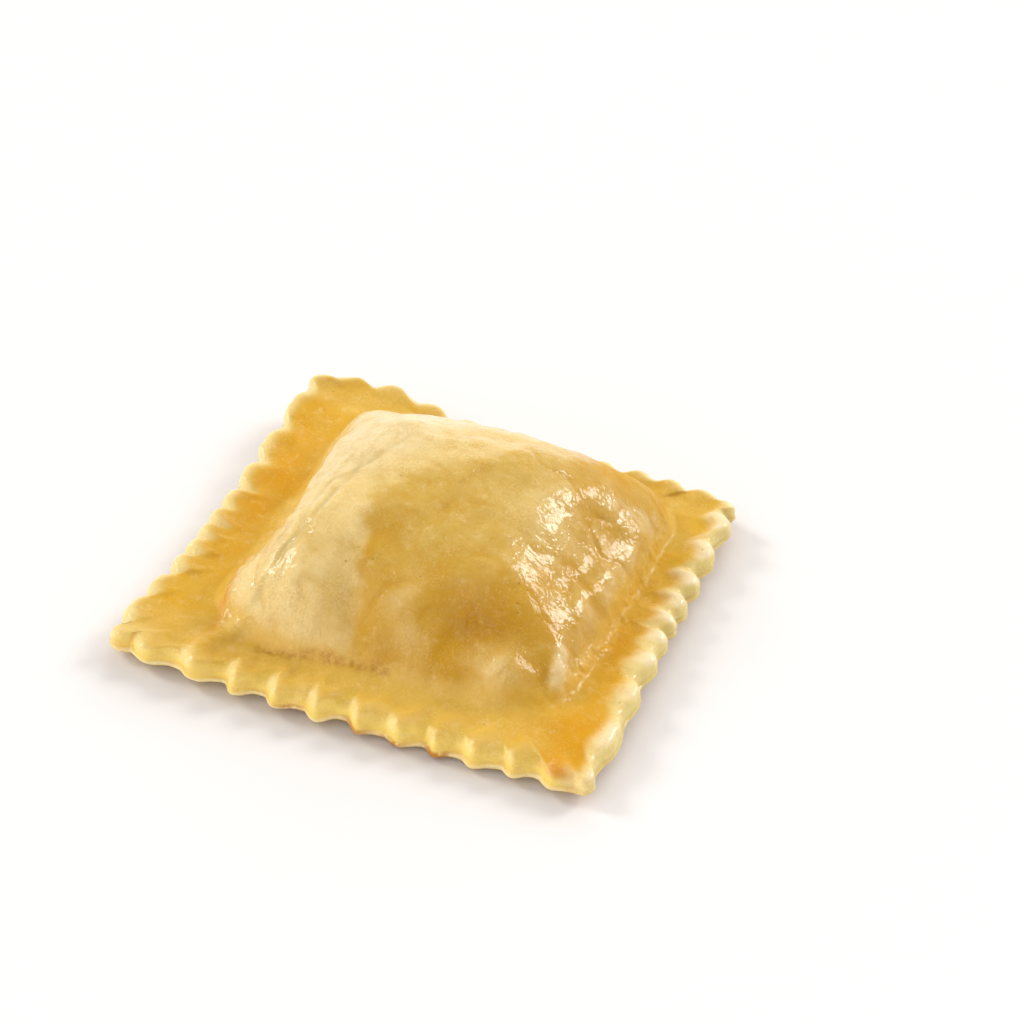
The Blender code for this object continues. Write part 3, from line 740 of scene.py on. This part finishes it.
def tones(mesh, points, normals, facts, at, signs):
    """What the material reads: where the dough is pale, golden, deep or shaded, where shade and highlights are
    painted into its colour, and how wet it is.
    """
    x, y, inward, tooth, level = facts.T
    pillow, rim, top = at["pillow"], at["rim"], at["top"]
    wobble = fractal(points, 5.0, 3, 101)
    fray = 0.9 * fractal(points, 2.2, 2, 105)
    hollow = signs["hollow"]
    # pale: partly the dough's own paler tone and partly painted sheen where the front left lobe and the
    # shoulder face the left lamp; the lobe ends sharply at the valley, behind, the shoulder fades over the flatter
    # top
    lobe_edge = -7.2 + 0.33 * np.clip(-9.0 - y, 0.0, 14.0)
    lobe = smoothstep(1.2, -1.4, x - lobe_edge + 1.3 * fray) * smoothstep(-1.0, -8.0, y)
    shoulder = smoothstep(1.6, -2.4, 0.654 * x - 0.757 * y + 2.3 + 2.0 * wobble + fray)
    shoulder *= smoothstep(3.5, -3.5, x - 0.55 * (y + 3.0) + 3.0 * wobble)
    # pale spots over the bump and the lump, a paler patch on the right slope, and a painted highlight streak on the
    # pinched end of the right wall
    spots = np.maximum.reduce(
        [
            0.72 * hump(x + 0.6 * fray, y, 0.6, -15.3, 1.6, 1.9),
            0.45 * hump(x, y + 0.6 * fray, 3.0, -18.6, 2.0, 1.5),
            1.10 * hump(x + 0.6 * fray, y, 14.0, -20.3, 2.0, 1.9),
            0.45 * hump(x, y, 13.0, 1.5, 4.0, 5.0),
            0.95 * lines(x, y, ((19.4, -13.2), (20.1, -17.6)), 0.5, 0.8),
        ]
    )
    # with a little painted sheen over the wet crinkled patches
    pale = pillow * np.clip(
        0.95 * lobe + 0.75 * shoulder * (1 - lobe) + spots + 0.12 * signs["gloss"], 0.0, 1.0
    )
    # less pale in the hollows between the lumps: painted shade
    pale *= 1.0 - 0.35 * hollow
    # amber where the sheet is thin and wet in the dents and valleys, and painted shade on the slumped front slope
    slump = smoothstep(-3.0, -19.0, y - 0.30 * x + 3.0 * wobble)
    amber = np.maximum.reduce(
        [
            0.75 * slump * smoothstep(-13.0, -5.0, x),
            0.78 * hump(x + fray, y, -4.6, -9.3, 2.5, 2.0),
            0.80 * lines(x + fray, y, ((-5.6, -10.0), (-5.2, -15.0), (-3.2, -21.5)), 1.1),
            1.05 * hump(x, y + fray, 9.8, -15.8, 4.6, 2.4),
            0.70 * lines(x + fray, y, ((16.2, 6.0), (16.8, -10.0)), 1.2),
            0.75 * smoothstep(11.0, 17.0, x + 0.25 * y) * (1.0 - 0.55 * signs["gloss"]),
        ]
    )
    # deeper still in the hollows between the lumps: painted shade
    deep = pillow * np.clip(amber + 0.45 * (hollow - 0.5), 0.0, 1.0) * (1.0 - 0.85 * pale)
    flange = np.clip(at["flange"], 0.0, 1.0)
    front = smoothstep(-20.5, -23.5, y) * smoothstep(24.5, 20.0, x)
    gold = flange * (1.0 - front) * (0.80 + 0.5 * wobble) * (1.0 - 0.45 * smoothstep(20.0, 25.0, y))
    pool = flange * np.clip(
        0.85 * hump(x, y, -25.2, 6.0, 2.4, 12.0) * (1 - signs["left_foot"])
        + 1.1 * hump(x, y, 25.2, -24.6, 4.0, 4.2)
        + 0.9 * hump(x, y, 24.6, -8.0, 1.8, 11.0)
        + 0.30 * hump(x, y, -24.0, -24.0, 6.0, 3.0)
        + 0.6 * hump(x, y, 25.3, -29.2, 1.2, 0.9),
        0.0,
        1.0,
    ) * (0.75 + 0.6 * wobble)
    # the cut edge is cream: in a wide soft border on the right, and in front only on the
    # flank of each tooth that faces the left lamp, where it is a painted highlight
    at_front = smoothstep(-1.0, 1.5, -y - np.abs(x)) * (1.0 - smoothstep(24.5, 27.0, x))
    at_right = smoothstep(-1.0, 1.5, x - np.abs(y))
    flank = smoothstep(0.05, 0.55, -normals[:, 0]) * smoothstep(0.1, 0.5, level)
    border = 1.0 - smoothstep(0.5, 2.1 + 1.7 * at_right, inward + 0.35 * fray)
    cream = border * (0.62 + 0.38 * tooth) * (1.0 - 0.80 * at_front * (1.0 - flank))
    cream *= smoothstep(-0.7, 0.2, level) * (1.0 - 0.15 * at_front)
    cream = np.maximum(cream, 0.45 * top * hump(x, y, -28.6, -28.0, 2.4, 1.8))
    # painted shade in the valleys between the teeth, strongest in front
    valley = rim * (1.0 - smoothstep(0.05, 0.45, tooth)) * smoothstep(-0.3, 0.4, level)
    valley *= 0.35 + 0.65 * at_front
    give(mesh, "pale", pale)
    give(mesh, "deep", deep)
    give(mesh, "gold", gold)
    # painted shade in the hollow over the front foot
    give(mesh, "painted_hollow_shade", pillow * 0.65 * hump(x, y + fray, 9.8, -15.6, 3.6, 1.9) * (1 - pale))
    # the cut edge in front: its upright face, painted brighter to stand for the light that shines through it, and
    # the lower sheet's lip under it
    upright = 1.0 - smoothstep(0.45, 0.92, normals[:, 2])
    give(mesh, "wall", rim * at_front * upright * (0.75 + 0.5 * wobble))
    lip = rim * smoothstep(-0.26, -0.44, level) * smoothstep(-0.99, -0.80, level)
    give(mesh, "lip", lip * (0.35 + 0.55 * at_front))
    glints = 1.4 * lines(x + 0.3 * fray, y, LEFT_FOOT, 0.9) + 1.3 * lines(x, y, RIGHT_FOOT, 0.7)
    glints += 1.1 * hump(x + fray, y, -27.0, 2.0, 1.5, 22.0) * flange * smoothstep(-0.1, 0.3, fractal(points, 5.0, 2, 127))
    glints += 1.6 * hump(x, y, 20.6, -21.8, 0.8, 0.8) + 1.3 * hump(x, y, 22.6, -26.6, 0.8, 0.5)
    glints += 0.9 * rim * at_front * flank * smoothstep(0.1, 0.5, level)
    sprinkled = smoothstep(0.12, 0.42, fractal(points, 2.2, 2, 121)) * smoothstep(-0.2, 0.3, fractal(points, 9.0, 1, 123))
    glints += 0.8 * sprinkled * np.maximum(flange * smoothstep(-20.0, -22.5, x), 0.7 * pillow * (1 - signs["gloss"]))
    give(mesh, "glints", glints * top)
    # a painted highlight streak on the pinched end of the right wall, which is also wetter
    facet = lines(x, y, ((19.5, -13.0), (20.3, -17.8)), 0.6, 0.8) * top
    give(mesh, "facet", 0.55 * facet)
    # painted sheen on the upper left shoulder
    painted_sheen = smoothstep(3.0, -4.0, 0.654 * x - 0.757 * y + 6.0 + 2.0 * wobble) * smoothstep(-19.5, -14.0, x)
    give(mesh, "painted_sheen", 0.60 * painted_sheen * pillow * smoothstep(1.0, -8.0, x + 2.0 * fray))
    # the right teeth: a whitish painted highlight on the upward-facing tops of the tips, and greener painted shade
    # on their lower sides
    up = smoothstep(0.30, 0.80, normals[:, 2])
    give(mesh, "tips", 0.75 * border * at_right * smoothstep(0.45, 0.85, tooth) * up)
    give(mesh, "under", 0.55 * rim * at_right * (1.0 - up) * smoothstep(-0.8, 0.0, level))
    # painted shade: a deep orange spot by the dent at the front right corner
    corner_dent_shade = hump(x + 0.5 * fray, y + 0.4 * fray, 25.0, -28.7, 1.5, 1.2)
    give(mesh, "corner_dent_shade", 0.8 * corner_dent_shade * smoothstep(0.1, 0.6, level))
    hem = lines(x + 0.5 * fray, y, ((-22.0, -9.0), (-20.9, -15.0), (-20.3, -20.5), (-19.9, -23.6)), 0.36)
    give(mesh, "hem", 0.9 * hem * top * (0.45 + 0.55 * signs["broken"]))
    give(mesh, "combed", smoothstep(-6.0, -13.0, x) * pillow * top)
    give(mesh, "front", np.maximum(flange * front, rim * at_front))
    give(mesh, "pool", pool)
    give(mesh, "cream", cream)
    give(mesh, "valley", valley)
    give(mesh, "creases", signs["creases"])
    apron = lines(x - 1.6, y, LEFT_FOOT, 1.1, 1.5) * (1.0 - rim)
    give(mesh, "apron", 0.7 * apron * (1.0 - pillow))
    # where the groove along the front foot gets painted shade
    give(mesh, "groove", 0.85 * signs["front_foot"])
    give(mesh, "dark_mottle", 1.0 - 0.65 * pale - 0.6 * rim - 0.45 * flange)
    give(mesh, "mealy", 1.0 - 0.55 * np.maximum(deep, np.maximum(pool, 0.5 * flange)))
    # painted shade on the lower sheet's ledge, under the front teeth
    under_teeth_shade = hump(x, y, 0.6, -29.6, 1.3, 1.5) + hump(x, y, 5.2, -29.6, 1.0, 1.5)
    under_teeth_shade += 1.2 * hump(x, y, 10.3, -29.6, 1.2, 1.5) + 0.8 * hump(x, y, -8.0, -29.0, 1.4, 1.5)
    give(mesh, "spots", under_teeth_shade * rim * smoothstep(-0.12, -0.36, level))
    give(mesh, "gloss", signs["gloss"])
    give(mesh, "leather", 0.32 + 0.68 * pillow - 0.20 * rim)
    dry = smoothstep(17.0, 21.0, x + 0.4 * y) * pillow * (1.0 - signs["gloss"])
    wet = 0.42 + 0.22 * pillow + 0.25 * rim + 0.5 * signs["gloss"] - 0.55 * dry - 0.2 * deep
    wet += 0.4 * facet - 0.30 * rim * at_front * upright * (1.0 - flank)
    give(mesh, "wet", wet + 0.35 * fractal(points, 3.0, 2, 111))


# ---- material -------------------------------------------------------------------
def linear(r, g, b):
    """A colour given as 0 to 255 screen values, in the linear values that nodes take."""
    return tuple(
        c / 12.92 if c <= 0.04045 else ((c + 0.055) / 1.055) ** 2.4
        for c in (r / 255, g / 255, b / 255)
    ) + (1.0,)


DOUGH = linear(211, 171, 75)
PALE = linear(242, 213, 146)
DEEP = linear(203, 149, 22)
GOLD = linear(220, 170, 44)
FRONT = linear(222, 178, 76)
POOL = linear(214, 149, 3)
CREAM = linear(242, 220, 152)
VALLEY_SHADE = linear(214, 176, 62)
CREASE_SHADE = linear(190, 168, 104)
GROOVE_SHADE = linear(186, 128, 34)
APRON = linear(228, 190, 100)
FLECK = linear(250, 232, 172)
SPECK = linear(130, 88, 30)
HOLLOW_SHADE = linear(172, 116, 20)
WALL_PAINTED_LIGHT = linear(248, 214, 104)
SHEEN_CREAM = linear(240, 220, 172)
TIP_HIGHLIGHT = linear(250, 232, 198)
UNDERSIDE_SHADE = linear(214, 196, 108)
DENT_SHADE = linear(214, 134, 12)
HEM = linear(212, 140, 22)
LIP = linear(246, 222, 166)


class Nodes:
    """Small helpers that keep the node code readable."""

    def __init__(self, material):
        self.tree = material.node_tree
        self.tree.nodes.clear()

    def add(self, kind, **settings):
        node = self.tree.nodes.new(kind)
        for name, value in settings.items():
            setattr(node, name, value)
        return node

    def link(self, source, target):
        self.tree.links.new(source, target)

    def put(self, socket, value):
        if hasattr(value, "links"):
            self.link(value, socket)
        else:
            socket.default_value = value

    def mask(self, name):
        return self.add("ShaderNodeAttribute", attribute_name=name).outputs["Fac"]

    def mix(self, factor, first, second, blend="MIX"):
        node = self.add("ShaderNodeMix", data_type="RGBA", blend_type=blend)
        self.put(node.inputs[0], factor)
        self.put(node.inputs[6], first)
        self.put(node.inputs[7], second)
        return node.outputs[2]

    def math(self, operation, first, second=0.0, third=0.0, clamp=False):
        node = self.add("ShaderNodeMath", operation=operation, use_clamp=clamp)
        for socket, value in zip(node.inputs, (first, second, third)):
            self.put(socket, value)
        return node.outputs[0]

    def noise(self, where, scale, detail=3.0, rough=0.55, warp=0.0):
        node = self.add("ShaderNodeTexNoise")
        self.link(where, node.inputs["Vector"])
        node.inputs["Scale"].default_value = scale
        node.inputs["Detail"].default_value = detail
        node.inputs["Roughness"].default_value = rough
        node.inputs["Distortion"].default_value = warp
        return node.outputs["Fac"]

    def ramp(self, value, low, high, to_low=0.0, to_high=1.0):
        node = self.add("ShaderNodeMapRange", interpolation_type="SMOOTHSTEP")
        self.link(value, node.inputs["Value"])
        for name, v in (
            ("From Min", low),
            ("From Max", high),
            ("To Min", to_low),
            ("To Max", to_high),
        ):
            node.inputs[name].default_value = v
        return node.outputs["Result"]

    def bump(self, height, distance, strength=1.0, normal=None):
        node = self.add("ShaderNodeBump")
        self.link(height, node.inputs["Height"])
        node.inputs["Distance"].default_value = distance
        self.put(node.inputs["Strength"], strength)
        if normal is not None:
            self.link(normal, node.inputs["Normal"])
        return node.outputs["Normal"]


def pasta():
    material = bpy.data.materials.new("wet_egg_pasta")
    material.use_nodes = True
    n = Nodes(material)
    out = n.add("ShaderNodeOutputMaterial")
    shader = n.add("ShaderNodeBsdfPrincipled")
    n.link(shader.outputs[0], out.inputs[0])
    where = n.add("ShaderNodeTexCoord").outputs["Object"]

    # broad tones
    cloud = n.noise(where, 160.0, 4.0, 0.6, 0.2)
    colour = n.mix(n.ramp(cloud, 0.3, 0.7, 0.0, 0.22), DOUGH, PALE)
    # pale tone, partly painted sheen on the left lobe and shoulder
    colour = n.mix(n.mask("pale"), colour, PALE)
    # deep amber: thin wet dough in dents and valleys, painted shade on the front slope and in the hollows
    colour = n.mix(n.mask("deep"), colour, DEEP)
    colour = n.mix(n.mask("gold"), colour, GOLD)
    colour = n.mix(n.mask("front"), colour, FRONT)
    colour = n.mix(n.mask("pool"), colour, POOL)
    # painted sheen on the upper left shoulder
    colour = n.mix(n.mask("painted_sheen"), colour, SHEEN_CREAM)
    # painted shade in the hollow over the front foot
    colour = n.mix(n.mask("painted_hollow_shade"), colour, HOLLOW_SHADE)
    # painted shade in the valleys between the teeth
    colour = n.mix(n.mask("valley"), colour, VALLEY_SHADE)
    # painted light on the upright faces of the front cut edge
    colour = n.mix(n.mask("wall"), colour, WALL_PAINTED_LIGHT)
    # cream cut edge, with a painted highlight on the left flanks of the front teeth
    colour = n.mix(n.mask("cream"), colour, CREAM)
    colour = n.mix(n.mask("apron"), colour, APRON)
    colour = n.mix(n.mask("lip"), colour, LIP)
    # painted highlight on the right teeth's tops and painted shade on their lower sides
    colour = n.mix(n.mask("tips"), colour, TIP_HIGHLIGHT)
    colour = n.mix(n.mask("under"), colour, UNDERSIDE_SHADE)
    # painted shade by the dent at the front right corner
    colour = n.mix(n.mask("corner_dent_shade"), colour, DENT_SHADE)
    # painted highlight streak on the pinched end of the right wall
    colour = n.mix(n.mask("facet"), colour, SHEEN_CREAM)
    colour = n.mix(n.mask("hem"), colour, HEM)
    # painted shade in the groove along the front foot, broken up by fine noise
    groove_breakup = n.ramp(n.noise(where, 1500.0, 2.0, 0.6), 0.40, 0.60, 0.4, 1.0)
    colour = n.mix(n.math("MULTIPLY", n.mask("groove"), groove_breakup), colour, GROOVE_SHADE)
    # painted shade in the creases of the left shoulder
    colour = n.mix(n.math("MULTIPLY", n.mask("creases"), 0.5), colour, CREASE_SHADE)
    # mottling of the cooked dough, finer and finer
    mottle = n.noise(where, 420.0, 6.0, 0.74, 0.0)
    mottle = n.math("MULTIPLY", n.ramp(mottle, 0.44, 0.66, 0.0, 0.50), n.mask("dark_mottle"))
    colour = n.mix(mottle, colour, DEEP)
    bright = n.noise(where, 640.0, 5.0, 0.72, 0.0)
    bright = n.math("MULTIPLY", n.ramp(bright, 0.52, 0.72, 0.0, 0.38), n.mask("mealy"))
    colour = n.mix(bright, colour, PALE)
    # painted shade: ochre spots on the lower sheet's ledge in front, under the teeth
    shade_breakup = n.ramp(n.noise(where, 700.0, 2.0, 0.5, 0.4), 0.36, 0.50)
    colour = n.mix(n.math("MULTIPLY", n.mask("spots"), shade_breakup), colour, linear(186, 120, 30))
    # the finest grain: darker and paler points a fifth of a millimetre apart
    fine = n.noise(where, 3600.0, 2.5, 0.65, 0.0)
    strength = n.math("MULTIPLY_ADD", n.mask("pale"), 0.12, 0.25)
    patchy = n.math("MULTIPLY", n.ramp(n.noise(where, 260.0, 2.0), 0.35, 0.65, 0.2, 1.0), strength)
    colour = n.mix(n.math("MULTIPLY", n.ramp(fine, 0.48, 0.72), patchy), colour, DEEP)
    patchy = n.math("MULTIPLY", patchy, n.mask("mealy"))
    colour = n.mix(n.math("MULTIPLY", n.ramp(fine, 0.48, 0.30), patchy), colour, FLECK)
    # bran specks
    speck = n.add("ShaderNodeTexVoronoi", feature="F1")
    n.link(where, speck.inputs["Vector"])
    speck.inputs["Scale"].default_value = 520.0
    dot = n.ramp(speck.outputs["Distance"], 0.045, 0.10, 1.0, 0.0)
    few = n.ramp(n.noise(where, 240.0, 2.0), 0.5, 0.6)
    colour = n.mix(n.math("MULTIPLY", n.math("MULTIPLY", dot, few), 0.45), colour, SPECK)

    n.link(colour, shader.inputs["Base Color"])
    rough = n.ramp(n.noise(where, 500.0, 3.0), 0.3, 0.7, 0.36, 0.56)
    n.link(rough, shader.inputs["Roughness"])
    shader.inputs["IOR"].default_value = 1.40
    shader.inputs["Specular IOR Level"].default_value = 0.18
    shader.inputs["Subsurface Weight"].default_value = 0.22
    shader.inputs["Subsurface Radius"].default_value = (1.0, 0.65, 0.3)
    shader.inputs["Subsurface Scale"].default_value = 0.0014

    # fine relief: blisters and the leathery grain
    grain = n.noise(where, 1500.0, 5.0, 0.70, 0.3)
    blister = n.add("ShaderNodeTexVoronoi", feature="SMOOTH_F1")
    n.link(where, blister.inputs["Vector"])
    blister.inputs["Scale"].default_value = 900.0
    blister.inputs["Smoothness"].default_value = 0.6
    skin_normal = n.bump(grain, 0.00019, n.mask("leather"))
    skin_normal = n.bump(blister.outputs["Distance"], 0.00005, 1.0, skin_normal)
    n.link(skin_normal, shader.inputs["Normal"])
    # scattered pimples that catch the light
    pimple = n.add("ShaderNodeTexVoronoi", feature="F1")
    n.link(where, pimple.inputs["Vector"])
    pimple.inputs["Scale"].default_value = 950.0
    pimple = n.ramp(pimple.outputs["Distance"], 0.05, 0.24, 1.0, 0.0)
    some = n.ramp(n.noise(where, 300.0, 2.0, 0.6), 0.48, 0.60)
    pimple = n.math("MULTIPLY", pimple, some)

    # the film of cooking water and oil
    n.link(n.mask("wet"), shader.inputs["Coat Weight"])
    shader.inputs["Coat Roughness"].default_value = 0.12
    shader.inputs["Coat IOR"].default_value = 1.44
    film = n.bump(n.noise(where, 1050.0, 1.2, 0.55, 0.5), 0.00012, n.mask("leather"))
    turned = n.add("ShaderNodeMapping")
    n.link(where, turned.inputs["Vector"])
    turned.inputs["Rotation"].default_value = (0.0, 0.0, math.radians(42.0))
    turned.inputs["Scale"].default_value = (0.50, 1.5, 1.0)
    strokes = n.noise(turned.outputs["Vector"], 1750.0, 0.8, 0.5, 0.4)
    film = n.bump(strokes, 0.00007, n.mask("gloss"), film)
    film = n.bump(pimple, 0.00010, n.mask("leather"), film)
    drops = n.noise(where, 1500.0, 1.0, 0.5, 0.3)
    film = n.bump(n.ramp(drops, 0.48, 0.66), 0.00026, n.mask("glints"), film)
    combed = n.add("ShaderNodeMapping")
    n.link(where, combed.inputs["Vector"])
    combed.inputs["Rotation"].default_value = (0.0, 0.0, math.radians(-70.0))
    combed.inputs["Scale"].default_value = (0.35, 1.4, 1.0)
    combed = n.noise(combed.outputs["Vector"], 1200.0, 1.0, 0.5, 0.4)
    film = n.bump(combed, 0.00004, n.mask("combed"), film)
    n.link(film, shader.inputs["Coat Normal"])
    return material


# ---- stage ----------------------------------------------------------------------
def floor():
    mesh = bpy.data.meshes.new("floor")
    r = 6.0
    mesh.from_pydata([(-r, -r, 0), (r, -r, 0), (r, r, 0), (-r, r, 0)], [], [(0, 1, 2, 3)])
    ob = bpy.data.objects.new("floor", mesh)
    bpy.context.scene.collection.objects.link(ob)
    material = bpy.data.materials.new("white_table")
    material.use_nodes = True
    shader = material.node_tree.nodes["Principled BSDF"]
    shader.inputs["Base Color"].default_value = (0.866, 0.824, 0.802, 1.0)
    shader.inputs["Roughness"].default_value = 0.7
    shader.inputs["Specular IOR Level"].default_value = 0.1
    mesh.materials.append(material)
    return ob


def sun(name, azimuth, elevation, wide, strength, colour=(1.0, 1.0, 1.0), mirrored=True):
    """A round soft box far away. Azimuth 0 is in front of the table, 90 to its right.

    One that isn't mirrored fills in but leaves no sheen on the wet skin.
    """
    light = bpy.data.lights.new(name, "SUN")
    light.energy = strength
    light.angle = math.radians(wide)
    light.color = colour
    ob = bpy.data.objects.new(name, light)
    a, e = math.radians(azimuth), math.radians(elevation)
    way = Vector((math.sin(a) * math.cos(e), -math.cos(a) * math.cos(e), math.sin(e)))
    ob.location = way
    ob.rotation_euler = way.to_track_quat("Z", "Y").to_euler()
    ob.visible_glossy = mirrored
    bpy.context.scene.collection.objects.link(ob)
    return ob


def studio():
    sun("box_right_rear", 142.0, 31.0, 22.0, 1.3)
    sun("scrim_right_rear", 142.0, 34.0, 62.0, 0.8, mirrored=False)
    sun("scrim_rear", 194.0, 28.0, 44.0, 0.98, mirrored=False)
    sun("box_left", -92.0, 34.0, 20.0, 1.18)
    sun("box_above", 170.0, 84.0, 50.0, 0.1)
    sun("box_front", -25.0, 32.0, 75.0, 1.39)
    world = bpy.data.worlds.new("white_studio")
    bpy.context.scene.world = world
    world.use_nodes = True
    tree = world.node_tree
    tree.nodes.clear()
    out = tree.nodes.new("ShaderNodeOutputWorld")
    back = tree.nodes.new("ShaderNodeBackground")
    where = tree.nodes.new("ShaderNodeTexCoord")
    split = tree.nodes.new("ShaderNodeSeparateXYZ")
    fade = tree.nodes.new("ShaderNodeMapRange")
    fade.interpolation_type = "SMOOTHSTEP"
    for name, value in (("From Min", 0.12), ("From Max", 0.45), ("To Min", 1.25), ("To Max", 0.25)):
        fade.inputs[name].default_value = value
    tree.links.new(where.outputs["Generated"], split.inputs[0])
    tree.links.new(split.outputs["Z"], fade.inputs["Value"])
    tree.links.new(fade.outputs["Result"], back.inputs["Strength"])
    tree.links.new(back.outputs[0], out.inputs[0])


def camera():
    """Stands in front, a little to the right and above, with the slight tilt of the shot."""
    right = Vector((0.93836, 0.33608, 0.08082))
    down = Vector((0.26293, -0.54221, -0.79805))
    ahead = Vector((-0.22438, 0.77011, -0.59715))
    data = bpy.data.cameras.new("camera")
    data.sensor_width = 36.0
    data.lens = 98.68
    data.clip_start, data.clip_end = 0.01, 30.0
    ob = bpy.data.objects.new("camera", data)
    columns = Matrix((right, -down, -ahead)).transposed()
    ob.matrix_world = columns.to_4x4()
    ob.location = (
        (82.95 + SHIFT[0]) / 1000.0,
        (-257.756 + SHIFT[1]) / 1000.0,
        214.164 / 1000.0,
    )
    bpy.context.scene.collection.objects.link(ob)
    bpy.context.scene.camera = ob


def main():
    for old in list(bpy.data.objects):
        bpy.data.objects.remove(old, do_unlink=True)
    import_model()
    mesh, points, normals, facts, at, signs = skin_mesh()
    tones(mesh, points, normals, facts, at, signs)
    mesh.materials.append(pasta())
    raviolo = bpy.data.objects.new("raviolo_skin", mesh)
    bpy.context.scene.collection.objects.link(raviolo)
    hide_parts("raviolo")
    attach(raviolo, "root")
    floor()
    studio()
    camera()
    bpy.context.scene.view_settings.view_transform = "Standard"
    bpy.context.view_layer.update()
    print("skin:", sum(len(p.vertices) - 2 for p in mesh.polygons), "triangles")


main()
